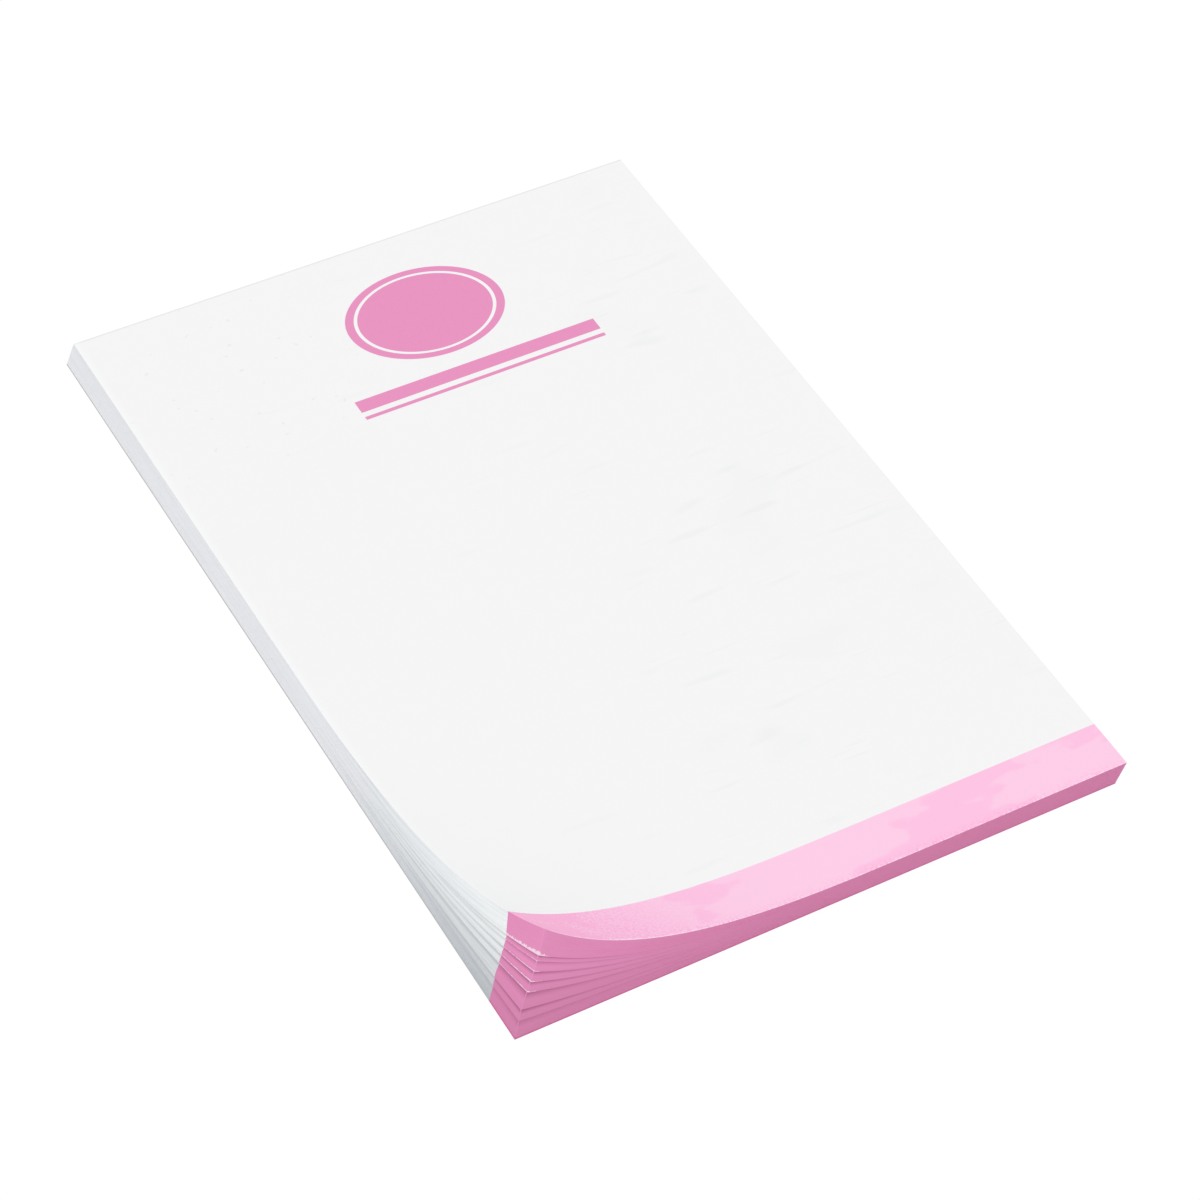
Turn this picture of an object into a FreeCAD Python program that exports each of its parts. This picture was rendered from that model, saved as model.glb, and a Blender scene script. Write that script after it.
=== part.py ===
import FreeCAD, Part
import math
import os
import Sketcher

# An adhesive note pad: a glued stack of paper sheets on a backing sheet, all cut to one size.
# The stack leans a little to the right, and its front left corner is fanned: the sheets curl
# up there in clumps, the top ones most, and gaps open between the clumps.
# Millimetres and degrees. X is across the pad, Y runs from the front edge to the glued back
# edge, and Z is up. The origin is the middle of the underside.

SIZES = [
    ("sheet_width", 100.0, "width of every sheet"),
    ("sheet_length", 150.0, "length of every sheet, from the front to the glued edge"),
    ("sheet_gauge", 0.075, "thickness of one note sheet"),
    ("backing_gauge", 0.2, "thickness of the backing sheet"),
    ("lean_angle", 20.0, "lean of the stack's edges to the right, from upright"),
    ("fold_bearing", 37.3, "way the curl runs in from the corner, from the front edge"),
    ("fold_reach", 52.0, "distance from the corner to the line where the curl starts"),
    ("gap_start", 20.0, "distance from that line to where the gaps open"),
    ("gap_least", 0.18, "height of a gap where it opens"),
    ("corner_blunt", 0.15, "paper missing from the very tip of the corner"),
    ("fan_slew", 0.7, "slide of the top sheet's corner along the fold line, to the right"),
]

# The fanned clumps from the bottom up: sheets in the clump, how far its top sheet turns
# further up than its lowest one at the corner, and how far it turns up from the clump below.
CLUMPS = [
    ("base", 15, 15.2, 0.0),
    ("second", 8, 7.9, 1.6),
    ("third", 3, 4.6, 0.9),
    ("fourth", 4, 4.2, 0.8),
    ("fifth", 3, 7.5, 0.8),
    ("cover", 17, 8.2, 1.6),
]

CURVE_STEPS = 8         # spans of the curves that follow a curled edge
SERIES_TERMS = 6        # terms of the curl's power series
SLEW_POWER = 4          # how late along the curl its sideways slide sets in
OVERSHOOT = 6.0         # reach of the gap cutters past the paper


def make_sheet(doc):
    """Spreadsheet with one named cell for each driving size."""
    table = doc.addObject("Spreadsheet::Sheet", "Sizes")
    rows = list(SIZES)
    for name, count, spread, step in CLUMPS:
        rows.append((name + "_sheets", count, "note sheets in the " + name + " clump"))
        rows.append((name + "_spread", spread, "turn of its top sheet over its lowest one"))
        if step:
            rows.append((name + "_step", step, "turn of its lowest sheet over the clump below"))
    for number, (alias, value, meaning) in enumerate(rows, start=1):
        table.set("A%d" % number, meaning)
        table.set("B%d" % number, str(value))
        table.setAlias("B%d" % number, alias)
    counts = "+".join("%s_sheets" % clump[0] for clump in CLUMPS)
    total = "B%d" % (len(rows) + 1)
    table.set(total, "=(%s)*sheet_gauge" % counts)
    table.setAlias(total, "stack_height")
    doc.recompute()
    return table


def origin_plane(body, role):
    """One of a body's own origin planes."""
    for feature in body.Origin.OriginFeatures:
        if feature.Role == role:
            return feature
    raise ValueError(role)


def add_outline(sketch, corners):
    """Closed outline of straight lines through the corners, joined end to end."""
    count = len(corners)
    for i in range(count):
        start = FreeCAD.Vector(*corners[i], 0)
        end = FreeCAD.Vector(*corners[(i + 1) % count], 0)
        sketch.addGeometry(Part.LineSegment(start, end), False)
    for i in range(count):
        sketch.addConstraint(Sketcher.Constraint("Coincident", i, 2, (i + 1) % count, 1))


def bind(sketch, kind, arguments, value, expression):
    """One dimension of a sketch, tied to the spreadsheet."""
    index = sketch.addConstraint(Sketcher.Constraint(kind, *arguments, value))
    sketch.setExpression("Constraints[%d]" % index, expression)


def make_backing(doc, size):
    """The backing sheet: a leaning cross-section, padded along the sheet's length."""
    body = doc.addObject("PartDesign::Body", "backing_sheet")
    section = body.newObject("Sketcher::SketchObject", "backing_section")
    section.AttachmentSupport = [(origin_plane(body, "XZ_Plane"), "")]
    section.MapMode = "FlatFace"
    half = size.sheet_width / 2
    lean = math.tan(math.radians(size.lean_angle)) * size.backing_gauge
    top = size.backing_gauge
    add_outline(section, [(-half, 0), (half, 0), (half + lean, top), (-half + lean, top)])
    section.addConstraint(Sketcher.Constraint("Horizontal", 0))
    section.addConstraint(Sketcher.Constraint("Horizontal", 2))
    section.addConstraint(Sketcher.Constraint("Parallel", 1, 3))
    section.addConstraint(Sketcher.Constraint("PointOnObject", 0, 1, -1))
    bind(section, "DistanceX", (0, 1, -1, 1), half, "Sizes.sheet_width / 2")
    bind(section, "DistanceX", (0, 1, 0, 2), 2 * half, "Sizes.sheet_width")
    bind(section, "DistanceY", (1, 1, 1, 2), top, "Sizes.backing_gauge")
    bind(section, "DistanceX", (1, 1, 1, 2), lean, "Sizes.backing_gauge * tan(Sizes.lean_angle * 1 deg)")
    pad = body.newObject("PartDesign::Pad", "backing_pad")
    pad.Profile = section
    pad.Midplane = True
    pad.setExpression("Length", "Sizes.sheet_length")
    section.Visibility = False
    return body


def make_flat_stack(doc, size):
    """The note sheets as far as they lie flat: their outline without the curled corner,
    raised to the stack's height along the lean."""
    outline = doc.addObject("Sketcher::SketchObject", "flat_outline")
    half_width = size.sheet_width / 2
    half_length = size.sheet_length / 2
    bearing = math.radians(size.fold_bearing)
    along_front = size.fold_reach / math.cos(bearing)
    along_left = size.fold_reach / math.sin(bearing)
    add_outline(outline, [
        (-half_width + along_front, -half_length), (half_width, -half_length),
        (half_width, half_length), (-half_width, half_length),
        (-half_width, -half_length + along_left),
    ])
    for edge in (0, 2):
        outline.addConstraint(Sketcher.Constraint("Horizontal", edge))
    for edge in (1, 3):
        outline.addConstraint(Sketcher.Constraint("Vertical", edge))
    bind(outline, "DistanceX", (-1, 1, 0, 2), half_width, "Sizes.sheet_width / 2")
    bind(outline, "DistanceX", (2, 2, 2, 1), 2 * half_width, "Sizes.sheet_width")
    bind(outline, "DistanceY", (-1, 1, 1, 2), half_length, "Sizes.sheet_length / 2")
    bind(outline, "DistanceY", (1, 1, 1, 2), 2 * half_length, "Sizes.sheet_length")
    bind(outline, "DistanceX", (0, 1, 0, 2), 2 * half_width - along_front,
         "Sizes.sheet_width - Sizes.fold_reach / cos(Sizes.fold_bearing * 1 deg)")
    bind(outline, "DistanceY", (3, 2, 3, 1), 2 * half_length - along_left,
         "Sizes.sheet_length - Sizes.fold_reach / sin(Sizes.fold_bearing * 1 deg)")
    outline.setExpression("Placement.Base.x", "Sizes.backing_gauge * tan(Sizes.lean_angle * 1 deg)")
    outline.setExpression("Placement.Base.z", "Sizes.backing_gauge")
    stack = doc.addObject("Part::Extrusion", "flat_stack")
    stack.Base = outline
    stack.DirMode = "Custom"
    stack.setExpression("Dir.x", "sin(Sizes.lean_angle * 1 deg)")
    stack.setExpression("Dir.y", "0")
    stack.setExpression("Dir.z", "cos(Sizes.lean_angle * 1 deg)")
    stack.setExpression("LengthFwd", "Sizes.stack_height / cos(Sizes.lean_angle * 1 deg)")
    stack.Solid = True
    outline.Visibility = False
    return stack


def curl(size, past, turn):
    """Where a sheet gets to at a distance past the fold line, when its bend tightens evenly
    from flat there to the given turn at the corner: level travel, and rise."""
    angle = math.radians(turn) * (past / size.fold_reach) ** 2
    travel = sum((-1) ** n * angle ** (2 * n) / ((4 * n + 1) * math.factorial(2 * n))
                 for n in range(SERIES_TERMS))
    rise = sum((-1) ** n * angle ** (2 * n + 1) / ((4 * n + 3) * math.factorial(2 * n + 1))
               for n in range(SERIES_TERMS))
    return past * travel, past * rise


def curled_point(size, level, past, turn, aside):
    """A point of the sheet that lies at the given level in the flat stack, at a distance past
    the fold line and a distance aside along it, to the left."""
    bearing = math.radians(size.fold_bearing)
    travel, rise = curl(size, past, turn)
    inward = size.fold_reach - travel
    corner_x = -size.sheet_width / 2 + level * math.tan(math.radians(size.lean_angle))
    return FreeCAD.Vector(
        corner_x + inward * math.cos(bearing) - aside * math.sin(bearing),
        -size.sheet_length / 2 + inward * math.sin(bearing) + aside * math.cos(bearing),
        level + rise)


def left_edge(size, past):
    """How far aside the sheet's left edge lies, at a distance past the fold line."""
    return (size.fold_reach - past) / math.tan(math.radians(size.fold_bearing))


def front_edge(size, past):
    """How far aside the sheet's front edge lies, at a distance past the fold line."""
    return -(size.fold_reach - past) * math.tan(math.radians(size.fold_bearing))


def edge_curve(size, level, turn, slew, edge):
    """One curled edge of a sheet, from the fold line to the corner, which slides by slew."""
    last = size.fold_reach - size.corner_blunt
    stations = [last * i / CURVE_STEPS for i in range(CURVE_STEPS + 1)]
    points = [curled_point(size, level, past, turn,
                           edge(size, past) - slew * (past / size.fold_reach) ** SLEW_POWER)
              for past in stations]
    if not turn:
        return Part.makeLine(points[0], points[-1])
    curve = Part.BSplineCurve()
    curve.interpolate(points)
    return curve.toShape()


def ends(edge):
    """First and last point of an edge."""
    return edge.Vertexes[0].Point, edge.Vertexes[-1].Point


def quad(corners):
    """Flat face with four corners."""
    return Part.Face(Part.makePolygon(corners + corners[:1]))


def make_curled_corner(doc, size, full_turn):
    """The corner beyond the fold line, from its lowest sheet, which stays flat, to its top
    sheet, which curls most. Its edges are ruled between those two sheets' edges."""
    bottom = size.backing_gauge
    top = bottom + size.stack_height
    low_left = edge_curve(size, bottom, 0, 0, left_edge)
    low_front = edge_curve(size, bottom, 0, 0, front_edge)
    high_left = edge_curve(size, top, full_turn, size.fan_slew, left_edge)
    high_front = edge_curve(size, top, full_turn, size.fan_slew, front_edge)
    rims = [ends(edge) for edge in (low_left, low_front, high_front, high_left)]
    faces = [
        quad([rims[0][0], rims[1][0], rims[1][1], rims[0][1]]),
        Part.makeRuledSurface(high_left, high_front),
        Part.makeRuledSurface(low_left, high_left),
        Part.makeRuledSurface(low_front, high_front),
        quad([rim[0] for rim in rims]),
        quad([rim[1] for rim in rims]),
    ]
    shell = Part.Shell(faces)
    shell.sewShape()
    solid = Part.Solid(shell)
    if solid.Volume < 0:
        solid.reverse()
    corner = doc.addObject("Part::Feature", "curled_corner")
    corner.Shape = solid
    return corner


def make_gap(doc, size, name, level, low_turn, high_turn):
    """Cutter for the gap between two clumps, from where it opens to past the corner."""
    last = size.fold_reach + OVERSHOOT
    stations = [size.gap_start + (last - size.gap_start) * i / CURVE_STEPS
                for i in range(CURVE_STEPS + 1)]
    aside = front_edge(size, size.gap_start) - OVERSHOOT
    span = left_edge(size, size.gap_start) + OVERSHOOT - aside
    sides = []
    for turn, offset in ((low_turn, -size.gap_least / 2), (high_turn, size.gap_least / 2)):
        curve = Part.BSplineCurve()
        curve.interpolate([curled_point(size, level, past, turn, aside)
                           + FreeCAD.Vector(0, 0, offset) for past in stations])
        sides.append(curve.toShape())
    (low_start, low_end), (high_start, high_end) = ends(sides[0]), ends(sides[1])
    outline = Part.Wire(Part.__sortEdges__([
        sides[0], Part.makeLine(low_end, high_end), sides[1], Part.makeLine(high_start, low_start)]))
    bearing = math.radians(size.fold_bearing)
    along_fold = FreeCAD.Vector(-math.sin(bearing), math.cos(bearing), 0) * span
    gap = doc.addObject("Part::Feature", name)
    gap.Shape = Part.Face(outline).extrude(along_fold)
    return gap


def make_note_sheets(doc, size):
    """All the note sheets as one glued stack, with the gaps cut in its fanned corner."""
    flat = make_flat_stack(doc, size)
    gaps = []
    level = size.backing_gauge
    turn = 0.0
    for name, _count, _spread, step in CLUMPS:
        if step:
            opened = turn + getattr(size, name + "_step")
            gaps.append(make_gap(doc, size, "gap_below_" + name, level, turn, opened))
            turn = opened
        level += getattr(size, name + "_sheets") * size.sheet_gauge
        turn += getattr(size, name + "_spread")
    corner = make_curled_corner(doc, size, turn)
    whole = doc.addObject("Part::MultiFuse", "whole_stack")
    whole.Shapes = [flat, corner]
    openings = doc.addObject("Part::MultiFuse", "fan_gaps")
    openings.Shapes = gaps
    sheets = doc.addObject("Part::Cut", "note_sheets")
    sheets.Base = whole
    sheets.Tool = openings
    return sheets


def check(doc, nodes):
    """Stop if any object failed or a finished piece isn't one sound solid."""
    for item in doc.Objects:
        if "Invalid" in item.State or "Error" in item.State:
            raise RuntimeError("%s failed: %s" % (item.Name, item.State))
    for node in nodes:
        shape = node.Shape
        if shape.isNull() or not shape.isValid() or len(shape.Solids) != 1:
            raise RuntimeError("%s has no sound single solid" % node.Label)


def main():
    doc = FreeCAD.newDocument("note_pad")
    size = make_sheet(doc)
    nodes = [make_backing(doc, size), make_note_sheets(doc, size)]
    doc.recompute()
    for node in nodes:
        node.Label = node.Name
    check(doc, nodes)
    os.makedirs("parts", exist_ok=True)
    for node in nodes:
        shape = node.Shape
        box = shape.BoundBox
        print("%s: %.1f mm3, X %.2f to %.2f, Y %.2f to %.2f, Z %.2f to %.2f" % (
            node.Label, shape.Volume, box.XMin, box.XMax, box.YMin, box.YMax, box.ZMin, box.ZMax))
        shape.exportStep("parts/%s.step" % node.Label)


main()
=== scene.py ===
import math
import random
from collections import namedtuple

import bpy
from mathutils import Matrix, Vector


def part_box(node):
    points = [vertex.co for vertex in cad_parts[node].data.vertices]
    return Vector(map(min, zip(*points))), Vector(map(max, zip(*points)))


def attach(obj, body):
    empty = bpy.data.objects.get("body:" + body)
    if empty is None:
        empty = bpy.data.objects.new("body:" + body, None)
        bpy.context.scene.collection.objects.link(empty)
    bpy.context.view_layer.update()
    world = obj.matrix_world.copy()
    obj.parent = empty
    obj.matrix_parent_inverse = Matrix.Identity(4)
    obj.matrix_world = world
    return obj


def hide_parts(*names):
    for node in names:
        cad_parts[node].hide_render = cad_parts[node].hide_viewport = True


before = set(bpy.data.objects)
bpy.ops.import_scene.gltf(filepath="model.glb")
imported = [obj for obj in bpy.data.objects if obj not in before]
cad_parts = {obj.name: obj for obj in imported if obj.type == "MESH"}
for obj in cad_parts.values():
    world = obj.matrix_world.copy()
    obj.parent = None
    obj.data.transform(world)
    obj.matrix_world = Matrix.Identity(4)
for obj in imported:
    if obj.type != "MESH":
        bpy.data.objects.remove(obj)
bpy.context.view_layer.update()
BACKING_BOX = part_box("backing_sheet")

bl_info = {
    "name": "Adhesive note pad",
    "version": (1, 0, 0),
    "blender": (4, 5, 0),
    "location": "3D View > Sidebar > Note Pad",
    "description": "Builds a pad of note paper with a fanned corner, and a stage to show it on",
    "category": "Object",
}

MM = 0.001
DEGREE = math.radians(1)

# The fan's clumps, from the backing up. Angles are at the corner: spread is how many degrees a
# clump's top sheet turns past its lowest, and step is how many it starts past the clump below.
# slide is how many millimetres its corner slips to the right along the fold, and band how many
# millimetres wide the band shows on its cut sides, each at its bottom and its top. highlit, the
# ninth column, is the share of its height, from the bottom, over which a painted highlight runs
# along its cut sides there. dip is how deep its highest sheets draw in at the corner, as a share
# of the usual depth, and it also sets the painted shade in that dip.
Clump = namedtuple(
    "Clump", "name sheets spread step slide_low slide_high band_low band_high rubbed dip"
)
CLUMPS = (
    Clump("base_clump", 12, 8.9, 0.0, 0.00, 0.02, 7.50, 7.40, 0.00, 0.8),
    Clump("ridge_clump", 3, 6.3, 0.0, 0.07, 0.10, 7.40, 7.40, 0.00, 1.5),
    Clump("second_clump", 8, 9.1, 0.4, 0.10, 0.42, 7.40, 7.45, 0.00, 1.3),
    Clump("third_clump", 3, 5.3, 0.2, 0.55, 0.57, 7.50, 7.50, 0.17, 1.3),
    Clump("fourth_clump", 4, 4.8, 0.2, 0.70, 0.70, 7.50, 7.50, 0.18, 1.3),
    Clump("fifth_clump", 2, 5.2, 0.2, 0.80, 0.80, 7.50, 7.50, 0.15, 0.8),
    Clump("sixth_clump", 1, 2.7, 0.1, 0.80, 0.80, 7.50, 7.50, 0.13, 1.2),
    Clump("cover_clump", 16, 9.3, 0.1, 0.82, 0.66, 7.60, 8.35, 0.20, 0.0),
    Clump("top_note", 1, 0.4, 0.0, 0.66, 0.65, 8.46, 8.46, 0.00, 0.0),
)
DIP_SHARE = 0.5  # of a clump's height, over which its highest sheets draw in at the corner
DIP_POWER = 1.5  # how sharply they do
TOP_NOTE = "top_note"
BEND_STATIONS = 28  # creases across the fold, an equal turn apart
ROUNDING_TURNS = [share * 90 * DEGREE for share in (0.25, 0.5, 0.75)]  # facets of the corner
BEND_TERMS = 6  # terms of the bend's series, ample for a turn of 60 degrees
RING_SHARES = (0.0, 0.2, 0.8, 1.0)  # a sheet's groove, its cut side's edges, the next groove
RINGS = len(RING_SHARES) - 1  # rings that each sheet adds
RING_SPACING = 1 * MM  # between rings while the stack is raised, before it is pressed
SLEW_POWER = 4  # how late along the bend its sideways slide sets in
SUNK = "sunk"  # how deep a point is in a dip, as a share of the usual depth
LEAST_WANDER = 0.2  # of the cut's wander, that every edge sits inside the stack's
SAME_PLACE = 1e-7  # a distance too small to count
ON_EDGE = 1e-6  # distance from an edge within which a point is on it
SHARP_TURN = 28 * DEGREE  # between two faces, from which the edge between them stays sharp
LEFT, RIGHT, FOOT, HEAD = SIDES = range(4)  # a sheet's edges
PAPER, BAND, CUT_PAPER, CUT_BAND = range(4)  # a clump's finishes
FLAT_PLACE = "flat_place"  # where a point was on the flat stack, which the patterns follow
FANNED = "fanned"  # how far a point's sheet is turned up there, as a share of the full turn
HIGHLIT = "rubbed"  # above 0 where a painted highlight lies on the cut sides, in shares of the clump's height
FlatPoint = namedtuple("FlatPoint", "x y z share")  # share is of the clump's height
WHITE = (1.0, 1.0, 1.0, 1.0)
FLOOR_SHOWN = 1.02  # how bright the unshaded floor shows, a little past white
SENSOR_WIDTH = 36.0  # of the camera, in millimetres


def seen(red, green, blue):
    """A colour as it is seen on a screen, 0 to 255, in the linear values that shaders take."""
    shares = [c / 255 for c in (red, green, blue)]
    return tuple(c / 12.92 if c <= 0.04045 else ((c + 0.055) / 1.055) ** 2.4 for c in shares)


def length(name, value, description):
    return bpy.props.FloatProperty(
        name=name, description=description, default=value, unit="LENGTH", precision=5
    )


def angle(name, degrees, description):
    return bpy.props.FloatProperty(
        name=name, description=description, default=degrees * DEGREE, subtype="ANGLE"
    )


def colour(name, value, description):
    return bpy.props.FloatVectorProperty(
        name=name, description=description, default=value, size=3, min=0, max=1, subtype="COLOR"
    )


class NotePadSizes(bpy.types.PropertyGroup):
    """Sizes of the paper, its fan and its print."""

    sheet_width: length("Sheet width", 100 * MM, "Width of every sheet")
    sheet_length: length(
        "Sheet length", BACKING_BOX[1].y - BACKING_BOX[0].y, "Length, foot to glued edge"
    )
    sheet_gauge: length("Sheet gauge", 0.075 * MM, "Thickness of one sheet of note paper")
    backing_gauge: length(
        "Backing gauge", BACKING_BOX[1].z - BACKING_BOX[0].z, "Thickness of the backing sheet"
    )
    lean_angle: angle("Lean", 20, "How far the stack leans to the right of upright")
    fold_bearing: angle("Fold bearing", 37.3, "Direction from the curled corner to its fold")
    fold_reach: length("Fold reach", 52 * MM, "Distance from the curled corner to its fold")
    foot_dip: length("Foot dip", 0.26 * MM, "Depth of the dips between clumps, along the foot")
    side_dip: length("Side dip", 0.24 * MM, "Depth of the dips between clumps, up the left side")
    # How far the painted highlight on the clumps' lower edges reaches, up the left side and the
    # foot.
    side_highlit: length("Side highlight", 34 * MM, "How far up the left side the rubbed edges reach")
    foot_highlit: length("Foot highlight", 3.2 * MM, "How far along the foot the rubbed edges reach")
    corner_round: length("Corner rounding", 0.35 * MM, "Radius worn on the curled corner")
    cut_wander: length("Cut wander", 0.02 * MM, "How far a cut edge may sit inside the stack's")
    groove_depth: length("Groove depth", 0.02 * MM, "Depth of the groove between two sheets")
    # The pale line along the band's foot is a painted highlight.
    band_glint_width: length("Band glint", 0.2 * MM, "Width of the pale line worn along the foot")
    # The grey rim along the glued edge of the face is painted shade.
    back_shade: length("Back rim", 0.5 * MM, "Width of the faint grey rim along the glued edge")
    # The brighter rim up the left side of the face is a painted highlight.
    left_highlight: length("Lit rim", 1.4 * MM, "Width of the brighter rim up the left side")
    roller_start: length("Roller start", 27 * MM, "Where the band is densest, right of middle")
    speckle_reach: length("Speckle reach", 1.8 * MM, "How far in from the foot the ink has specks")
    badge_width: length("Badge width", 27 * MM, "Width of the oval printed near the head")
    badge_height: length("Badge height", 20.5 * MM, "Height of the oval")
    badge_x: length("Badge across", 3.3 * MM, "Oval's middle, right of the sheet's middle")
    badge_y: length("Badge along", 56.4 * MM, "Oval's middle, above the sheet's middle")
    rule_length: length("Rule length", 43 * MM, "Length of the two rules under the oval")
    rule_x: length("Rules across", 5.2 * MM, "Rules' middle, right of the sheet's middle")
    thick_rule: length("Thick rule", 2.6 * MM, "Thickness of the upper rule")
    thick_rule_y: length("Thick rule along", 41.6 * MM, "Upper rule, above the sheet's middle")
    thin_rule: length("Thin rule", 0.7 * MM, "Thickness of the lower rule")
    thin_rule_y: length("Thin rule along", 38.9 * MM, "Lower rule, above the sheet's middle")


class NotePadColours(bpy.types.PropertyGroup):
    """Colours of the paper, its print and the stage."""

    paper: colour("Paper", seen(246, 246, 246), "Face of a sheet")
    paper_mark: colour("Paper mark", seen(238, 239, 240), "Faint pressing and handling marks")
    # Curled paper is painted light: brighter where sheets curl up, and the left side's highlight.
    paper_painted_light: colour("Curled paper", seen(253, 254, 255), "Face of a sheet where it curls")
    cut_paper: colour("Cut paper", seen(245, 246, 249), "Cut sides of the sheets")
    # Deep cut paper: darker random sheet tones, and painted shade near the foot and glued edge.
    cut_paper_deep: colour("Cut paper, deep", seen(194, 199, 204), "Darker sheets in the sides")
    # Opened colours: sheet faces between edges, and painted light, lighter where sheets fan up.
    cut_paper_opened: colour("Cut paper, opened", seen(251, 254, 255), "Cut sides, fanned open")
    cut_paper_shade: colour("Cut paper, shaded", seen(166, 171, 176), "Cut sides between clumps")
    # Rubbed colours of the cut paper and ink: painted highlights along the clumps' lower edges.
    cut_paper_rubbed: colour("Cut paper, rubbed", seen(254, 255, 255), "Cut sides where rubbed")
    band: colour("Band", seen(255, 206, 233), "Band on a sheet's face")
    # Deep band: denser mottles and specks, and painted shade where the sheets curl up.
    band_deep: colour("Band, deep", seen(255, 180, 220), "Mottles where the band is denser")
    # Worn band colour: a painted highlight along the band's foot edge.
    band_glint: colour("Band, worn", seen(255, 228, 243), "Worn line along the band's foot")
    ink: colour("Ink", seen(234, 149, 194), "Solid print, and the band on the cut sides")
    # Partly painted light: the band's cut sides are lighter where the sheets fan up.
    ink_opened: colour("Ink, opened", seen(238, 151, 198), "The band's cut sides, fanned open")
    ink_shade: colour("Ink, shaded", seen(176, 96, 138), "The band's cut sides between clumps")
    # A painted highlight on the band's cut sides, along the clumps' lower edges.
    ink_rubbed: colour("Ink, rubbed", seen(255, 222, 241), "The band's cut sides where rubbed")
    # Deep ink: denser print and darker tones, and painted shade low on the band's cut sides.
    ink_deep: colour("Ink, deep", seen(224, 141, 184), "Denser streaks in the ink")
    backing: colour("Backing", seen(226, 229, 231), "Coated backing sheet")
    backing_cut: colour("Backing, cut", seen(196, 197, 195), "Cut sides of the backing sheet")
    backing_ink: colour("Backing, inked", seen(214, 104, 164), "The band's ink on those sides")
    floor: colour("Floor", seen(221, 221, 221), "Pale floor, as it lights the pad's sides")
    floor_shaded: colour("Floor, shaded", seen(76, 76, 76), "How deep its shadows look")


class NotePadStage(bpy.types.PropertyGroup):
    """The camera's place, and the size and strength of the studio's lamps."""

    view_azimuth: angle("View azimuth", -31.850, "Camera's turn round the pad from its foot")
    view_elevation: angle("View elevation", 47.035, "Camera's height above the horizon")
    view_roll: angle("View roll", 3.455, "Camera's turn about its own line of sight")
    view_distance: length("View distance", 592.68 * MM, "From the pad's middle to the camera")
    view_right: length("View right", 4.84 * MM, "Camera's shift to its right")
    view_up: length("View up", -5.33 * MM, "Camera's shift upwards")
    lens: bpy.props.FloatProperty(
        name="Lens", description="Focal length on a 36 mm sensor", default=116.243,
        unit="CAMERA",
    )
    sky_level: bpy.props.FloatProperty(
        name="Sky level", description="Light of the studio's white tent", default=0.82
    )
    lamp_strength: bpy.props.FloatProperty(
        name="Lamp strength", description="Light of the lamp above, in watts a square metre",
        default=0.6,
    )
    lamp_spread: angle("Lamp spread", 75, "Angle that the soft lamp fills, seen from the pad")
    lamp_way: bpy.props.FloatVectorProperty(
        name="Lamp way", description="Direction from the pad to the soft lamp", size=3,
        default=(-0.34, -0.24, 0.91), subtype="DIRECTION",
    )
    floor_size: length("Floor size", 6.0, "Side of the floor")
    floor_drop: length("Floor drop", 0.02 * MM, "Hair's breadth between the floor and the pad")


def clear_selection():
    if bpy.context.object and bpy.context.object.mode != "OBJECT":
        bpy.ops.object.mode_set(mode="OBJECT")
    bpy.ops.object.select_all(action="DESELECT")


def only(ob):
    """Makes ob the one selected object."""
    clear_selection()
    ob.select_set(True)
    bpy.context.view_layer.objects.active = ob


# The bend. Each sheet is flat up to its fold, and from there its slope grows with the square
# of the distance past it, up to the sheet's own turn at the corner.


def full_turn():
    """The turn of the top sheet's corner, over all the clumps."""
    return sum(clump.spread + clump.step for clump in CLUMPS) * DEGREE


def corner_and_ways(size):
    """The flat corner that curls up, the way in from it across the fold, and along the fold."""
    inward = Vector((math.cos(size.fold_bearing), math.sin(size.fold_bearing)))
    corner = Vector((-size.sheet_width / 2, -size.sheet_length / 2))
    return corner, inward, Vector((-inward.y, inward.x))


def bend(size, place, level, turn, slide):
    """Where a point of a flat sheet goes, and its slope there. The sheet lies at level, and its
    corner turns up by turn and slips along the fold by slide."""
    corner, inward, aside = corner_and_ways(size)
    offset = Vector(place) - corner
    past = size.fold_reach - offset.dot(inward)
    share = max(past / size.fold_reach, 0.0)
    slope = turn * share**2
    travel = sum(
        (-1) ** n * slope ** (2 * n) / ((4 * n + 1) * math.factorial(2 * n))
        for n in range(BEND_TERMS)
    )
    climb = sum(
        (-1) ** n * slope ** (2 * n + 1) / ((4 * n + 3) * math.factorial(2 * n + 1))
        for n in range(BEND_TERMS)
    )
    at = corner + inward * (size.fold_reach - past * travel)
    at += aside * (offset.dot(aside) - slide * share**SLEW_POWER)
    at.x += level * math.tan(size.lean_angle)
    return Vector((*at, level + past * climb)), slope


def flat_sheet(name, size):
    """One flat sheet at the middle of the floor, creased across the fold, its corner rounded."""
    clear_selection()
    bpy.ops.mesh.primitive_plane_add(size=1)
    sheet = bpy.context.active_object
    sheet.name = name
    bpy.ops.object.mode_set(mode="EDIT")
    bpy.ops.mesh.select_all(action="SELECT")
    bpy.ops.transform.resize(value=(size.sheet_width, size.sheet_length, 1))
    corner, inward, _ = corner_and_ways(size)
    creases = [math.sqrt(n / BEND_STATIONS) * size.fold_reach for n in range(BEND_STATIONS)]
    cuts = [(corner + inward * (size.fold_reach - past), inward) for past in creases]
    middle = corner + Vector((size.corner_round, size.corner_round))
    for turn in ROUNDING_TURNS:
        way = Vector((math.cos(turn), math.sin(turn)))
        cuts.append((middle - way * size.corner_round, way))
    for cut, (point, way) in enumerate(cuts):
        bpy.ops.mesh.select_all(action="SELECT")
        bpy.ops.mesh.bisect(
            plane_co=(*point, 0),
            plane_no=(*way, 0),
            threshold=SAME_PLACE,
            clear_inner=cut >= len(creases),
        )
    bpy.ops.object.mode_set(mode="OBJECT")
    return sheet


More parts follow.
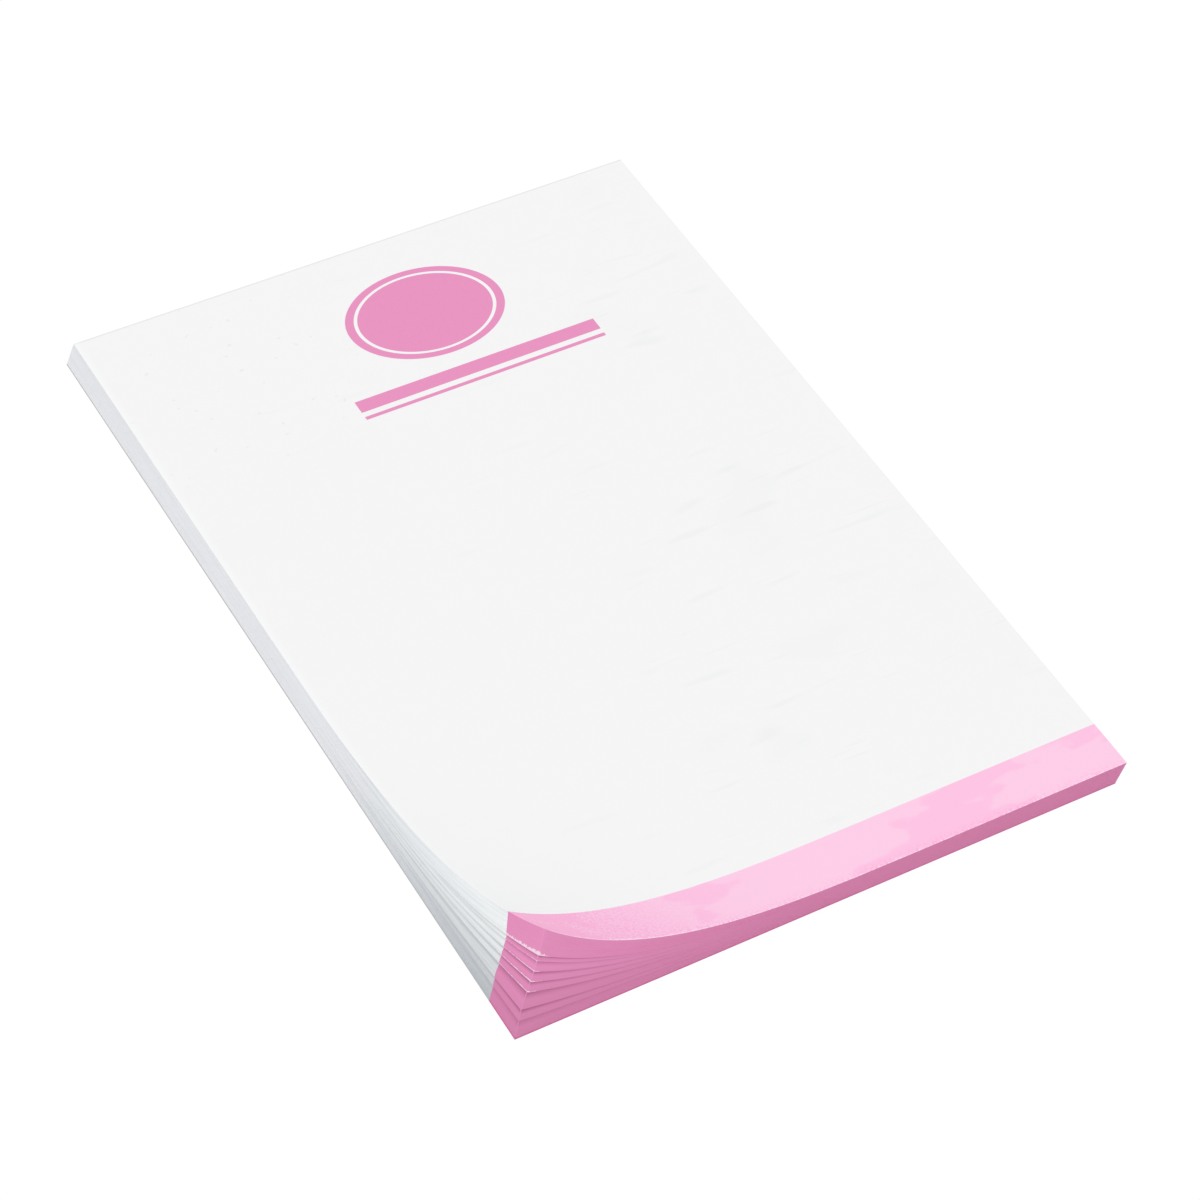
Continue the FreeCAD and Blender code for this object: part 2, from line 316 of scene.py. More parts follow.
def raise_stack(stack, size, clump):
    """Extrudes the flat sheet upwards, ring by ring, and scores the band's edge round it."""
    only(stack)
    bpy.ops.object.mode_set(mode="EDIT")
    bpy.ops.mesh.select_all(action="SELECT")
    rings = clump.sheets * RINGS
    for _ in range(rings):
        bpy.ops.mesh.extrude_region_move(
            TRANSFORM_OT_translate={"value": (0, 0, RING_SPACING)}
        )
    bpy.ops.mesh.select_all(action="SELECT")
    low, high = (width * MM - size.sheet_length / 2 for width in (clump.band_low, clump.band_high))
    bpy.ops.mesh.bisect(
        plane_co=(0, low, 0),
        plane_no=(0, rings * RING_SPACING, low - high),
        threshold=SAME_PLACE,
    )
    bpy.ops.mesh.select_all(action="SELECT")
    bpy.ops.mesh.normals_make_consistent(inside=False)
    bpy.ops.object.mode_set(mode="OBJECT")


def cut_edges(size, sheets, chance):
    """How far each sheet's left, right, foot and head edges sit inside the stack's, end to end."""
    return [
        [[chance.uniform(LEAST_WANDER, 1) * size.cut_wander for _ in range(2)] for _ in SIDES]
        for _ in range(sheets)
    ]


def part_way(first, last, share):
    """The value that lies share of the way from the first one to the last."""
    return first + (last - first) * share


def inset(size, edges, ring, side, share):
    """A ring's distance inside the stack's edge on one side, share of the way along it."""
    sheet, part = divmod(ring, RINGS)
    near = (sheet - 1, sheet) if part == 0 else (sheet,)
    depth = max(part_way(*edges[n][side], share) for n in near if 0 <= n < len(edges))
    return depth + (size.groove_depth if part == 0 else 0)


def pressed_share(height, sheets):
    """The share of the pressed clump's height that a height in rings comes to."""
    sheet, part = divmod(height + SAME_PLACE, RINGS)
    whole = int(part)
    step = RING_SHARES[whole + 1] - RING_SHARES[whole]
    return (sheet + RING_SHARES[whole] + step * (part - whole)) / sheets


def press_stack(stack, size, clump, level, turn, chance):
    """Presses the raised rings to the paper's gauge, trims their edges and bends the corner.
    Gives back where each point was on the flat stack."""
    edges = cut_edges(size, clump.sheets, chance)
    corner, inward, _ = corner_and_ways(size)
    half_width, half_length = size.sheet_width / 2, size.sheet_length / 2
    flat, fanned, rubbed, sunk = [], [], [], []
    for vertex in stack.data.vertices:
        x, y, z = vertex.co
        height = z / RING_SPACING
        ring = round(height)
        share = pressed_share(height, clump.sheets)
        opened = max(1 - (Vector((x, y)) - corner).dot(inward) / size.fold_reach, 0) ** 2
        on_left, on_foot = half_width + x < ON_EDGE, half_length + y < ON_EDGE
        if on_left or half_width - x < ON_EDGE:
            along = y / size.sheet_length + 0.5
            side = LEFT if on_left else RIGHT
            x -= math.copysign(inset(size, edges, ring, side, along), x)
        if on_foot or half_length - y < ON_EDGE:
            along = x / size.sheet_width + 0.5
            side = FOOT if on_foot else HEAD
            y -= math.copysign(inset(size, edges, ring, side, along), y)
        dip = clump.dip * max(1 - (1 - share) / DIP_SHARE, 0) ** DIP_POWER
        dip *= opened if on_left else opened**2
        x += size.side_dip * dip if on_left else 0
        y += size.foot_dip * dip if on_foot else 0
        sunk.append(dip if on_left or on_foot else 0)
        # A painted highlight along each clump's lower edge, fading up the left side and along the
        # foot.
        reach = 1 - max((x + half_width) / size.foot_highlit, (y + half_length) / size.side_highlit)
        rubbed.append(clump.rubbed * reach - share)
        at = level + share * clump.sheets * size.sheet_gauge
        slide = part_way(clump.slide_low, clump.slide_high, share)
        vertex.co, slope = bend(
            size, (x, y), at, turn + share * clump.spread * DEGREE, slide * MM
        )
        flat.append(FlatPoint(x, y, at, share))
        fanned.append(slope / full_turn())
    data = stack.data.attributes.new(FLAT_PLACE, "FLOAT_VECTOR", "POINT").data
    data.foreach_set("vector", [part for point in flat for part in point[:3]])
    for name, values in ((FANNED, fanned), (HIGHLIT, rubbed), (SUNK, sunk)):
        stack.data.attributes.new(name, "FLOAT", "POINT").data.foreach_set("value", values)
    return flat


def share_out_finishes(stack, size, clump, flat):
    """Gives each face its finish: paper or band on the sheets, and their cuts on the sides."""
    for face in stack.data.polygons:
        corners = [flat[number] for number in face.vertices]
        shares = [point.share for point in corners]
        share = sum(shares) / len(shares)
        width = part_way(clump.band_low, clump.band_high, share)
        middle = sum(point.y for point in corners) / len(corners)
        on_band = middle < width * MM - size.sheet_length / 2
        if max(shares) - min(shares) > SAME_PLACE:
            face.material_index = CUT_BAND if on_band else CUT_PAPER
        else:
            face.material_index = BAND if on_band and share > 0.5 else PAPER


def smooth(ob):
    only(ob)
    bpy.ops.object.shade_smooth_by_angle(angle=SHARP_TURN)
    clear_selection()


def stack_of(name, size, finishes):
    """The finished clump of that name, in its place in the fan."""
    level, turn = size.backing_gauge, 0.0
    for clump in CLUMPS:
        turn += clump.step * DEGREE
        if clump.name == name:
            break
        level += clump.sheets * size.sheet_gauge
        turn += clump.spread * DEGREE
    stack = flat_sheet(name, size)
    raise_stack(stack, size, clump)
    flat = press_stack(stack, size, clump, level, turn, random.Random(f"{name} edges"))
    for finish in finishes:
        stack.data.materials.append(finish)
    share_out_finishes(stack, size, clump, flat)
    smooth(stack)
    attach(stack, "root")
    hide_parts("note_sheets")
    return stack


# Finishes. Their patterns are laid out in millimetres on the flat sheet, from its middle. A
# pattern is a noise whose features have a size along each axis. It is worth its first value up to
# its first level, and its second value from its second level on.


Pattern = namedtuple("Pattern", "features levels worth detail", defaults=((0, 1), 2.0))

# A note's face, and its print.
FACE_CLOUD = Pattern((19.0, 13.0, 20.0), levels=(0.60, 0.72), worth=(0, 0.35))
THIN_STREAKS = Pattern((11.0, 0.6, 20.0), levels=(0.72, 0.80), worth=(0, 0.7), detail=0.0)
WIDE_STREAKS = Pattern((13.0, 2.4, 50.0), levels=(0.66, 0.80), worth=(0, 0.9), detail=0.0)
STREAKED_PATCHES = Pattern((24.0, 15.0, 20.0), levels=(0.44, 0.58), detail=1.0)
HANDLED_LEAN = 0.4  # slant of the handled part's edge, to the right towards the head
HANDLED_ACROSS = (-30, 40)  # where the handling grows, across the sheet
HANDLED_WORTH = (0.18, 0.6)  # and how strong its marks are on either side
FACE_SPECKS = Pattern((1.2, 1.0, 1.2), levels=(0.79, 0.83), detail=0.0)
SPECKS_ACROSS = (-20, 5)  # where the specks fade out, across the sheet
SPECKS_ALONG = (30, 45)  # and where they set in, towards the head
BACK_SHADE_WORTH = 0.35  # how strong the painted shade along the glued edge is
LEFT_HIGHLIGHT_WORTH = 0.4  # how strong the painted highlight up the left side is
FACE_CURL_LIGHT = 0.8  # how far the painted light of the curled paper colour shows where the sheets turn up fully
PRINT_DENSITY = (0.35, 0.75, 0.0, 0.25)  # levels of the fibres, and the ink's depth there
BADGE_RING = 0.87  # the oval's clear ring, as a share of its half width
BADGE_RING_WIDTH = 0.022  # half the ring's own width, the same way
TOOTH_CLOUD = 0.5  # how much of the paper's broader bumps is added to its fibres
GRAIN_LEVELS = (0.2, 0.8)  # of a grain, between which the roughness changes

# The band.
BAND_CLOUD = Pattern((15.0, 8.0, 9.0), levels=(0.49, 0.54), worth=(0, 0.4), detail=3.0)
BAND_SPECKS = Pattern((0.4, 0.4, 0.4), levels=(0.49, 0.55), worth=(0, 0.7))
ROLLER_ROUND = 75.0  # round the inking roller, whose pressure repeats in the band
ROLLER_PRESSURE = 0.07  # how far it moves the band's cloud
FOOT_SPECKLED = 0.75  # how speckled the band is at its foot
BAND_CURLED = (0.15, 0.6)  # shares of the full turn between which the curl shows in the ink
CURL_SHADE = 0.35  # how much darker the ink is painted there, as painted shade
GLINT_RAGGED = 0.9  # how far the painted highlight's edge wanders at most
GLINT_USUAL = 0.38  # and how far as a rule
GLINT_CURLED = 0.2  # how much wider the line is on the curl
GLINT_WORTH = 0.8  # how far the painted highlight's colour covers the ink

# The cut sides.
SHEET_RUNS = Pattern((14.0, 14.0, 0.11), levels=(0.35, 0.75))
FLAT_RUNS = (0, 0.3, 0.3, 1)  # turns of the sheets, and how much of the runs shows there
RUNS_TONE = 0.35  # how deep the tones of single sheets are
GRAIN_TONE = (0.4, 0.8, 0, 0.15)  # levels of the grain, and its tone there
PLAIN_TONE = 0.11  # tone that the cut sides have all over
SHADE_ALONG = (-75, -10, 0.85, 0)  # where painted shade lies along the side, from the foot, and its tone
SHADE_HEIGHT = (0.8, 2.4)  # height up the stack over which that tone changes
SIDE_OPENED = 1.5  # the opened colour's strength at the full turn, so it is whole before it; it is partly painted light
SHADE_WORTH = 0.75  # how dark the shade is in a dip of the usual depth
# The painted highlight along the clumps' lower edges: its ragged edge, and where it sets in.
HIGHLIT_EDGE = Pattern((0.3, 0.3, 0.3), levels=(0.3, 0.7), worth=(-0.09, 0))
HIGHLIT_FADE = (0.0, 0.05)  # shares of the clump's height over which the painted highlight sets in

# The backing sheet.
BACKING_CLOUD = Pattern((18.0, 12.0, 12.0), levels=(0.35, 0.75), worth=(0, 0.6), detail=3.0)
BACKING_DEEP = 0.93  # share of the backing's colour that its darker clouds keep
UNDERSIDE = 0.01  # height up to which the backing's face is its underside

# The two finishes of the cut sides: the word that their colours start with, how far the single
# sheets' tones show where the stack is fanned, and how much of the painted shade towards the foot
# is left at its top.
CutSide = namedtuple("CutSide", "name tint runs_share top_share")
CUT_SIDES = (CutSide("cut_paper", "cut_paper", 0.2, 0.3), CutSide("cut_band", "ink", 0.15, 0.9))
SIDE_TINTS = ("", "_deep", "_opened", "_shade", "_rubbed")


def rgba(value):
    return (*value, 1.0)


class Finish:
    """A material under construction, with short ways to add and join its nodes."""

    def __init__(self, name):
        self.material = bpy.data.materials.new(name)
        self.material.use_nodes = True
        self.tree = self.material.node_tree
        self.shader = self.tree.nodes["Principled BSDF"]

    def set(self, node, values):
        for socket, value in values.items():
            target = node.inputs[socket]
            if isinstance(value, bpy.types.NodeSocket):
                self.tree.links.new(value, target)
            else:
                target.default_value = value

    def add(self, kind, values=None, **settings):
        node = self.tree.nodes.new(kind)
        for key, value in settings.items():
            setattr(node, key, value)
        self.set(node, values or {})
        return node

    def maths(self, operation, first, second=0.0, third=0.0, clamp=False):
        node = self.add(
            "ShaderNodeMath", {0: first, 1: second, 2: third}, operation=operation,
            use_clamp=clamp,
        )
        return node.outputs[0]

    def vector(self, operation, first, second=(0.0, 0.0, 0.0)):
        node = self.add("ShaderNodeVectorMath", {0: first, 1: second}, operation=operation)
        return node.outputs["Value" if operation == "LENGTH" else "Vector"]

    def parts(self, vector):
        return self.add("ShaderNodeSeparateXYZ", {0: vector}).outputs

    def mix(self, share, first, second):
        """The first colour, turning to the second. The node's sockets 6 and 7 are for colours."""
        node = self.add("ShaderNodeMix", data_type="RGBA")
        self.set(node, {0: share, 6: first, 7: second})
        return node.outputs[2]

    def attribute(self, name, output="Fac"):
        return self.add("ShaderNodeAttribute", attribute_name=name).outputs[output]

    def flat_place(self):
        """The place on the flat stack, in millimetres."""
        return self.vector("MULTIPLY", self.attribute(FLAT_PLACE, "Vector"), (1 / MM,) * 3)

    def fanned(self, most):
        """most where the sheets are turned up fully, down to 0 where they lie flat."""
        return self.maths("MULTIPLY", self.attribute(FANNED), most, clamp=True)

    def noise(self, place, features, detail=2.0, roughness=0.5):
        """Noise whose features have those sizes, in millimetres, along each axis."""
        scaled = self.vector("DIVIDE", place, features)
        node = self.add(
            "ShaderNodeTexNoise",
            {"Vector": scaled, "Scale": 1.0, "Detail": detail, "Roughness": roughness},
        )
        return node.outputs["Fac"]

    def between(self, value, low, high, out_low=0.0, out_high=1.0):
        """out_low up to low, and from there smoothly to out_high at high."""
        node = self.add(
            "ShaderNodeMapRange",
            {"Value": value, "From Min": low, "From Max": high, "To Min": out_low,
             "To Max": out_high},
            interpolation_type="SMOOTHSTEP",
        )
        return node.outputs["Result"]

    def pattern(self, place, pattern):
        noise = self.noise(place, pattern.features, pattern.detail)
        return self.between(noise, *pattern.levels, *pattern.worth)

    def bump(self, height, strength, depth):
        node = self.add(
            "ShaderNodeBump", {"Height": height, "Strength": strength, "Distance": depth}
        )
        self.set(self.shader, {"Normal": node.outputs["Normal"]})

    def surface(self, base, grain, roughness, shine):
        """Gives the shader its colour and shine, and a roughness that varies with the grain."""
        self.set(
            self.shader,
            {
                "Base Color": base,
                "Roughness": self.between(grain, *GRAIN_LEVELS, *roughness),
                "Specular IOR Level": shine,
            },
        )


def oval_mask(finish, place, middle, across, high):
    """1 inside the oval, with a clear ring just inside its rim."""
    offset = finish.vector("SUBTRACT", place, (*middle, 0))
    out = finish.vector("LENGTH", finish.vector("MULTIPLY", offset, (2 / across, 2 / high, 0)))
    inside = finish.maths("LESS_THAN", out, 1.0)
    ring = finish.maths("COMPARE", out, BADGE_RING, BADGE_RING_WIDTH)
    return finish.maths("SUBTRACT", inside, ring, clamp=True)


def bar_mask(finish, place, middle, across, high):
    """1 inside a straight bar."""
    offset = finish.vector("SUBTRACT", place, (*middle, 0))
    scaled = finish.vector("MULTIPLY", offset, (2 / across, 2 / high, 0))
    parts = finish.parts(finish.vector("ABSOLUTE", scaled))
    return finish.maths("LESS_THAN", finish.maths("MAXIMUM", parts[0], parts[1]), 1.0)


def print_mask(finish, place, size):
    """1 where the head of the sheet is printed: an oval badge over a thick and a thin rule."""
    total = oval_mask(
        finish, place, (size.badge_x / MM, size.badge_y / MM),
        size.badge_width / MM, size.badge_height / MM,
    )
    for thickness, along in (
        (size.thick_rule, size.thick_rule_y), (size.thin_rule, size.thin_rule_y)
    ):
        rule = bar_mask(
            finish, place, (size.rule_x / MM, along / MM),
            size.rule_length / MM, thickness / MM,
        )
        total = finish.maths("MAXIMUM", total, rule)
    return total


def paper_tooth(finish, place):
    """Gives the finish the fine, uneven tooth of uncoated paper, and returns its fibres."""
    fibres = finish.noise(place, features=(0.5, 0.22, 0.3), detail=3.0, roughness=0.6)
    cloud = finish.noise(place, features=(3.0, 2.4, 3.0))
    height = finish.maths("ADD", fibres, finish.maths("MULTIPLY", cloud, TOOTH_CLOUD))
    finish.bump(height, strength=0.35, depth=0.02 * MM)
    return fibres


def face_marks(finish, place):
    """How marked a note's face is: faint clouds and short streaks from pressing and handling,
    most on its right, and a few specks near its head on the left."""
    across, along, _ = finish.parts(place)
    leant = finish.maths("SUBTRACT", across, finish.maths("MULTIPLY", along, HANDLED_LEAN))
    darkening = finish.between(leant, *HANDLED_ACROSS, *HANDLED_WORTH)
    streaks = finish.maths(
        "MAXIMUM", finish.pattern(place, THIN_STREAKS), finish.pattern(place, WIDE_STREAKS)
    )
    streaks = finish.maths("MULTIPLY", streaks, finish.pattern(place, STREAKED_PATCHES))
    marks = finish.maths("ADD", finish.pattern(place, FACE_CLOUD), streaks)
    marks = finish.maths("MULTIPLY", marks, darkening, clamp=True)
    specked = finish.maths(
        "MULTIPLY", finish.between(across, *SPECKS_ACROSS, 1, 0),
        finish.between(along, *SPECKS_ALONG),
    )
    specks = finish.maths("MULTIPLY", finish.pattern(place, FACE_SPECKS), specked)
    return finish.maths("MAXIMUM", marks, specks)


def paper_face(name, size, colours, printed):
    """The face of a note: matt and faintly marked, with a grey rim of painted shade along the
    glued edge, a brighter rim of painted highlight up the left side, painted light where it curls
    and, if it is printed, the print near its head."""
    finish = Finish(name)
    place = finish.flat_place()
    across, along, _ = finish.parts(place)
    fibres = paper_tooth(finish, place)
    base = finish.mix(
        face_marks(finish, place), rgba(colours.paper), rgba(colours.paper_mark)
    )
    # Painted shade along the glued edge.
    back = size.sheet_length / 2 / MM
    rim = finish.between(along, back - size.back_shade / MM, back, 0, BACK_SHADE_WORTH)
    base = finish.mix(rim, base, rgba(colours.cut_paper_deep))
    # Painted light: brighter paper where the sheets curl up.
    base = finish.mix(finish.fanned(FACE_CURL_LIGHT), base, rgba(colours.paper_painted_light))
    # A painted highlight up the left side.
    left = -size.sheet_width / 2 / MM
    rim = finish.between(across, left, left + size.left_highlight / MM, LEFT_HIGHLIGHT_WORTH, 0)
    base = finish.mix(rim, base, rgba(colours.paper_painted_light))
    if printed:
        density = finish.between(fibres, *PRINT_DENSITY)
        ink = finish.mix(density, rgba(colours.ink), rgba(colours.ink_deep))
        base = finish.mix(print_mask(finish, place, size), base, ink)
    finish.surface(base, fibres, roughness=(0.80, 0.92), shine=0.25)
    return finish.material


def band_density(finish, place, size, curled):
    """How dense the band's ink is: in clouds as the roller pressed, and in specks on the curl and
    along the foot. It is also denser on the curl, where that is painted shade."""
    across, along, _ = finish.parts(place)
    rolled = finish.maths("SUBTRACT", across, size.roller_start / MM)
    rolled = finish.maths("MULTIPLY", rolled, math.tau / ROLLER_ROUND)
    pressure = finish.maths("MULTIPLY", finish.maths("COSINE", rolled), ROLLER_PRESSURE)
    cloud = finish.noise(place, BAND_CLOUD.features, BAND_CLOUD.detail)
    cloud = finish.between(
        finish.maths("ADD", cloud, pressure), *BAND_CLOUD.levels, *BAND_CLOUD.worth
    )
    edge = -size.sheet_length / 2 / MM
    speckled = finish.between(along, edge, edge + size.speckle_reach / MM, FOOT_SPECKLED, 0)
    speckled = finish.maths("ADD", speckled, curled, clamp=True)
    specks = finish.maths("MULTIPLY", finish.pattern(place, BAND_SPECKS), speckled)
    density = finish.maths("ADD", cloud, specks)
    # Painted shade: darker ink where the sheets curl up.
    curl_shade = finish.maths("MULTIPLY", curled, CURL_SHADE)
    return finish.maths("ADD", density, curl_shade, clamp=True)


def band_face(name, size, colours):
    """The band across the foot: pale ink, uneven on the paper, with a painted highlight along the
    foot's edge and painted shade on the curl.
    """
    finish = Finish(name)
    place = finish.flat_place()
    fibres = paper_tooth(finish, place)
    curled = finish.between(finish.fanned(1.0), *BAND_CURLED)
    density = band_density(finish, place, size, curled)
    base = finish.mix(density, rgba(colours.band), rgba(colours.band_deep))
    _, along, _ = finish.parts(place)
    # A painted highlight along the foot's edge, wider on the curl; worn says where it lies.
    wander = finish.noise(place, BAND_SPECKS.features)
    ragged = finish.maths("MULTIPLY", wander, GLINT_RAGGED)
    ragged = finish.maths("SUBTRACT", ragged, finish.maths("MULTIPLY", curled, GLINT_CURLED))
    reach = (size.band_glint_width - size.sheet_length / 2) / MM + GLINT_USUAL
    worn = finish.maths("LESS_THAN", finish.maths("ADD", along, ragged), reach)
    worn = finish.maths("MULTIPLY", worn, GLINT_WORTH)
    base = finish.mix(worn, base, rgba(colours.band_glint))
    finish.surface(base, fibres, roughness=(0.70, 0.85), shine=0.3)
    return finish.material


def cut_side(side, colours):
    """Guillotined edges of the sheets, each a little lighter or darker than the next, and darker
    low on the stack towards the foot as painted shade. Where the stack is fanned, the sheets'
    faces show between their edges, so their opened colour does, and it is also painted light,
    lighter where they fan up. Painted shade gathers in the dips between clumps, and a painted
    highlight runs along the clumps' lower edges."""
    finish = Finish(side.name)
    pale, deep, opened, shade, rubbed = (
        rgba(getattr(colours, side.tint + tint)) for tint in SIDE_TINTS
    )
    place = finish.flat_place()
    _, along, height = finish.parts(place)
    runs = finish.maths(
        "MULTIPLY", finish.pattern(place, SHEET_RUNS),
        finish.between(finish.fanned(1.0), *FLAT_RUNS),
    )
    grain = finish.noise(place, features=(0.35, 0.35, 0.12))
    finish.bump(grain, strength=0.5, depth=0.03 * MM)
    tone = finish.maths(
        "ADD", finish.maths("MULTIPLY", runs, RUNS_TONE), finish.between(grain, *GRAIN_TONE),
        clamp=True,
    )
    tone = finish.maths("ADD", tone, PLAIN_TONE)
    # Painted shade: darker low on the stack and towards the foot.
    darkening = finish.maths(
        "MULTIPLY", finish.between(along, *SHADE_ALONG),
        finish.between(height, *SHADE_HEIGHT, 1, side.top_share),
    )
    tone = finish.maths("ADD", tone, darkening, clamp=True)
    base = finish.mix(tone, pale, deep)
    # Sheet faces between edges, and painted light: lighter where the sheets fan up.
    base = finish.mix(finish.fanned(SIDE_OPENED), base, opened)
    base = finish.mix(finish.maths("MULTIPLY", runs, side.runs_share), base, deep)
    shaded = finish.maths("MULTIPLY", finish.attribute(SUNK), SHADE_WORTH, clamp=True)
    base = finish.mix(shaded, base, shade)
    # A painted highlight along the clumps' lower edges.
    line = finish.maths("ADD", finish.attribute(HIGHLIT), finish.pattern(place, HIGHLIT_EDGE))
    base = finish.mix(finish.between(line, *HIGHLIT_FADE), base, rubbed)
    finish.surface(base, grain, roughness=(0.85, 0.95), shine=0.2)
    return finish.material


def backing_paper(size, colours):
    """The coated backing: smoother than the notes, inked where the band's cut runs over it."""
    finish = Finish("coated_backing")
    place = finish.add("ShaderNodeTexCoord").outputs["Object"]
    place = finish.vector("MULTIPLY", place, (1 / MM,) * 3)
    _, along, height = finish.parts(place)
    deep = tuple(part * BACKING_DEEP for part in colours.backing)
    base = finish.mix(finish.pattern(place, BACKING_CLOUD), rgba(colours.backing), rgba(deep))
    foot = finish.maths("LESS_THAN", along, CLUMPS[0].band_low - size.sheet_length / 2 / MM)
    side = finish.maths("GREATER_THAN", height, UNDERSIDE)
    base = finish.mix(side, base, rgba(colours.backing_cut))
    base = finish.mix(finish.maths("MULTIPLY", foot, side), base, rgba(colours.backing_ink))
    fibres = finish.noise(place, features=(0.8, 0.4, 0.4), detail=3.0)
    finish.bump(fibres, strength=0.2, depth=0.02 * MM)
    finish.surface(base, fibres, roughness=(0.42, 0.55), shine=0.4)
    return finish.material


class NOTEPAD_OT_backing(bpy.types.Operator):
    """Finish the backing sheet in coated paper"""

    bl_idname = "notepad.backing"
    bl_label = "Backing Sheet"

    def execute(self, context):
        scene = context.scene
        backing = bpy.data.objects["backing_sheet"]
        finish = backing_paper(scene.note_pad_sizes, scene.note_pad_colours)
        if not backing.material_slots:
            raise RuntimeError("the backing sheet has no material slot to finish")
        for slot in backing.material_slots:
            slot.material = finish
        return {"FINISHED"}


def sheet_finishes(scene, printed=False):
    """A clump's finishes: PAPER, BAND, CUT_PAPER and CUT_BAND, each made once."""
    size, colours = scene.note_pad_sizes, scene.note_pad_colours
    found = bpy.data.materials.get
    face = "printed_paper" if printed else "paper"
    return [
        found(face) or paper_face(face, size, colours, printed),
        found("band") or band_face("band", size, colours),
        *(found(side.name) or cut_side(side, colours) for side in CUT_SIDES),
    ]


class NOTEPAD_OT_clumps(bpy.types.Operator):
    """Stack the clumps of sheets under the top note"""

    bl_idname = "notepad.clumps"
    bl_label = "Clumps of Sheets"

    def execute(self, context):
        for name, *_ in CLUMPS:
            if name != TOP_NOTE:
                stack_of(name, context.scene.note_pad_sizes, sheet_finishes(context.scene))
        return {"FINISHED"}


class NOTEPAD_OT_top_note(bpy.types.Operator):
    """Lay the printed top note on the stack"""

    bl_idname = "notepad.top_note"
    bl_label = "Top Note"

    def execute(self, context):
        finishes = sheet_finishes(context.scene, printed=True)
        stack_of(TOP_NOTE, context.scene.note_pad_sizes, finishes)
        return {"FINISHED"}


def white_to_camera(tree):
    """1 for rays that show the background: the camera's, and reflected or passed through."""
    path = tree.nodes.new("ShaderNodeLightPath")
    total = path.outputs["Is Camera Ray"]
    for ray in ("Is Glossy Ray", "Is Transmission Ray"):
        node = tree.nodes.new("ShaderNodeMath")
        node.operation = "MAXIMUM"
        tree.links.new(total, node.inputs[0])
        tree.links.new(path.outputs[ray], node.inputs[1])
        total = node.outputs[0]
    return total


def lay_floor(stage, colours):
    """A pale floor that keeps the pad's shadow and shows as white elsewhere."""
    clear_selection()
    bpy.ops.mesh.primitive_plane_add(size=stage.floor_size, location=(0, 0, -stage.floor_drop))
    floor = bpy.context.active_object
    floor.name = "floor"
    finish = Finish("floor")
    shown = white_to_camera(finish.tree)
    lift = tuple(FLOOR_SHOWN - part for part in colours.floor_shaded)
    finish.set(
        finish.shader,
        {
            "Base Color": finish.mix(shown, rgba(colours.floor), rgba(colours.floor_shaded)),
            "Roughness": 1.0,
            "Specular IOR Level": 0.0,
            "Emission Color": rgba(lift),
            "Emission Strength": shown,
        },
    )
    floor.data.materials.append(finish.material)
    clear_selection()


def light_studio(scene, stage):
    """A white tent round the pad and one soft lamp above it."""
    world = bpy.data.worlds.new("studio")
    scene.world = world
    world.use_nodes = True
    tree = world.node_tree
    background = tree.nodes["Background"]
    background.inputs["Color"].default_value = WHITE
    level = tree.nodes.new("ShaderNodeMix")
    tree.links.new(white_to_camera(tree), level.inputs["Factor"])
    level.inputs["A"].default_value = stage.sky_level
    level.inputs["B"].default_value = 1.0
    tree.links.new(level.outputs["Result"], background.inputs["Strength"])
    lamp = bpy.data.lights.new("soft_lamp", "SUN")
    lamp.angle = stage.lamp_spread
    lamp.energy = stage.lamp_strength
    holder = bpy.data.objects.new("soft_lamp", lamp)
    holder.location = stage.lamp_way
    holder.rotation_euler = Vector(stage.lamp_way).to_track_quat("Z", "Y").to_euler()
    scene.collection.objects.link(holder)


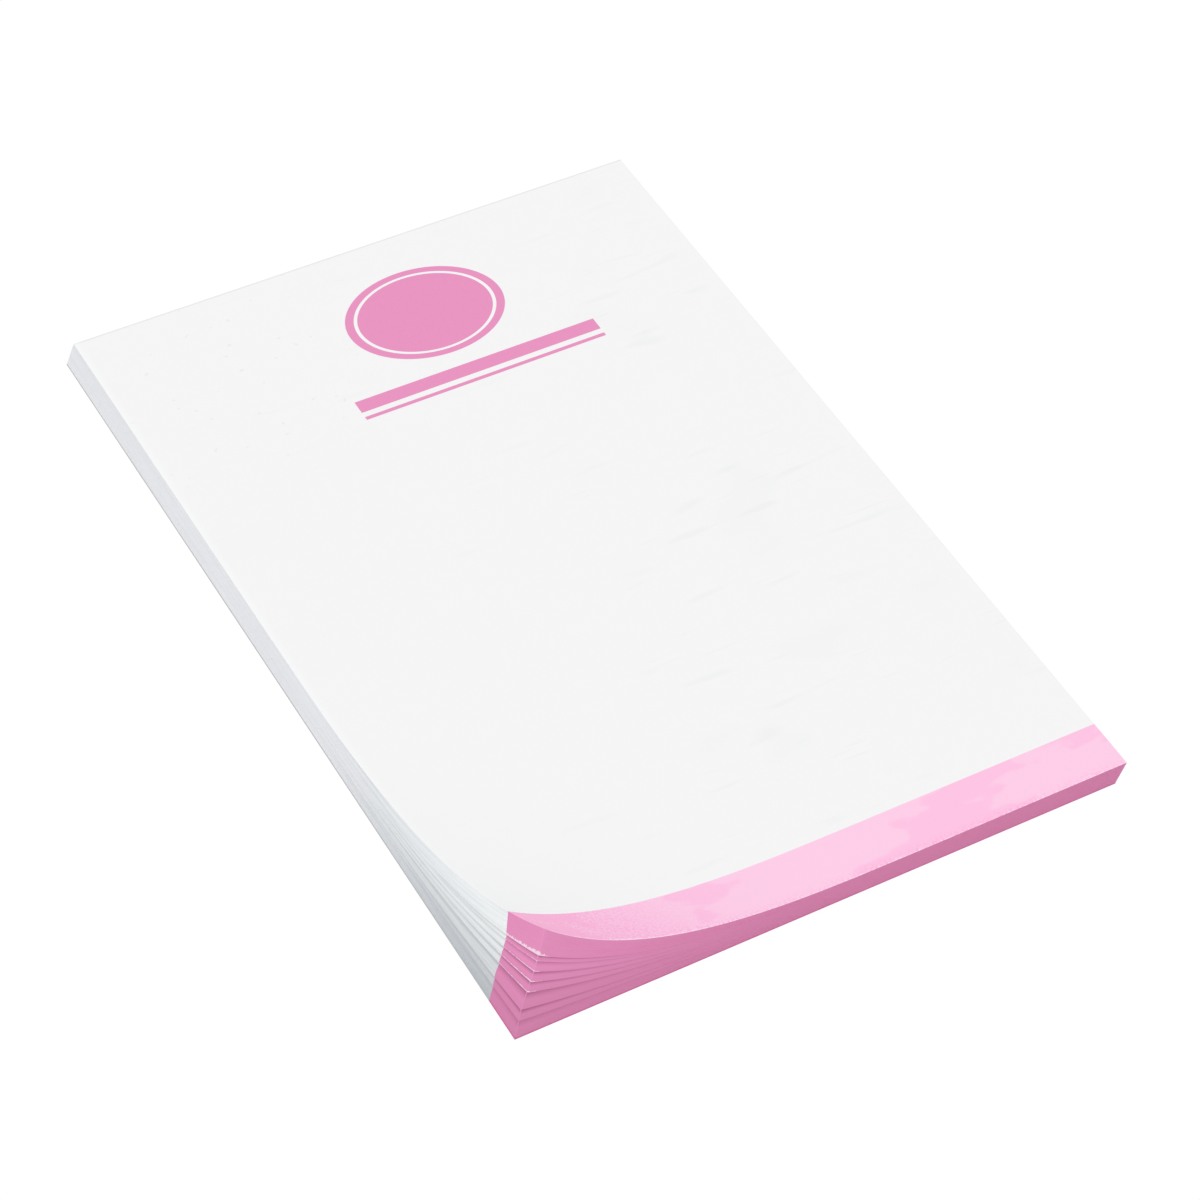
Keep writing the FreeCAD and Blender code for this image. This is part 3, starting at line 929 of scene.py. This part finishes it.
def place_camera(scene, stage):
    azimuth, elevation, roll = stage.view_azimuth, stage.view_elevation, stage.view_roll
    back = Vector((
        math.sin(azimuth) * math.cos(elevation),
        -math.cos(azimuth) * math.cos(elevation),
        math.sin(elevation),
    ))
    level = Vector((math.cos(azimuth), math.sin(azimuth), 0))
    upright = back.cross(level)
    right = level * math.cos(roll) + upright * math.sin(roll)
    up = upright * math.cos(roll) - level * math.sin(roll)
    camera = bpy.data.objects.new("camera", bpy.data.cameras.new("camera"))
    camera.data.sensor_fit = "HORIZONTAL"
    camera.data.sensor_width = SENSOR_WIDTH
    camera.data.lens = stage.lens
    camera.data.clip_start = 10 * MM
    turn = Matrix((right, up, back)).transposed().to_4x4()
    where = right * stage.view_right + up * stage.view_up + back * stage.view_distance
    camera.matrix_world = Matrix.Translation(where) @ turn
    scene.collection.objects.link(camera)
    scene.camera = camera


class NOTEPAD_OT_stage(bpy.types.Operator):
    """Set up the floor, the soft light and the camera"""

    bl_idname = "notepad.stage"
    bl_label = "Stage"

    def execute(self, context):
        scene = context.scene
        scene.view_settings.view_transform = "Standard"
        lay_floor(scene.note_pad_stage, scene.note_pad_colours)
        light_studio(scene, scene.note_pad_stage)
        place_camera(scene, scene.note_pad_stage)
        return {"FINISHED"}


OPERATORS = (NOTEPAD_OT_backing, NOTEPAD_OT_clumps, NOTEPAD_OT_top_note, NOTEPAD_OT_stage)


class NOTEPAD_PT_sidebar(bpy.types.Panel):
    """Note pad's sizes, colours and building steps"""

    bl_idname = "NOTEPAD_PT_sidebar"
    bl_label = "Note Pad"
    bl_space_type = "VIEW_3D"
    bl_region_type = "UI"
    bl_category = "Note Pad"

    def draw(self, context):
        for operator in OPERATORS:
            self.layout.operator(operator.bl_idname)
        for group in GROUPS:
            box = self.layout.box()
            values = getattr(context.scene, group)
            for name in values.__annotations__:
                box.prop(values, name)


GROUPS = {
    "note_pad_sizes": NotePadSizes,
    "note_pad_colours": NotePadColours,
    "note_pad_stage": NotePadStage,
}
CLASSES = (*GROUPS.values(), *OPERATORS, NOTEPAD_PT_sidebar)


def register():
    for cls in CLASSES:
        bpy.utils.register_class(cls)
    for name, group in GROUPS.items():
        setattr(bpy.types.Scene, name, bpy.props.PointerProperty(type=group))


def unregister():
    for name in GROUPS:
        delattr(bpy.types.Scene, name)
    for cls in reversed(CLASSES):
        bpy.utils.unregister_class(cls)


def main():
    register()
    bpy.ops.notepad.stage()
    bpy.ops.notepad.backing()
    bpy.ops.notepad.clumps()
    bpy.ops.notepad.top_note()


if __name__ == "__main__":
    main()
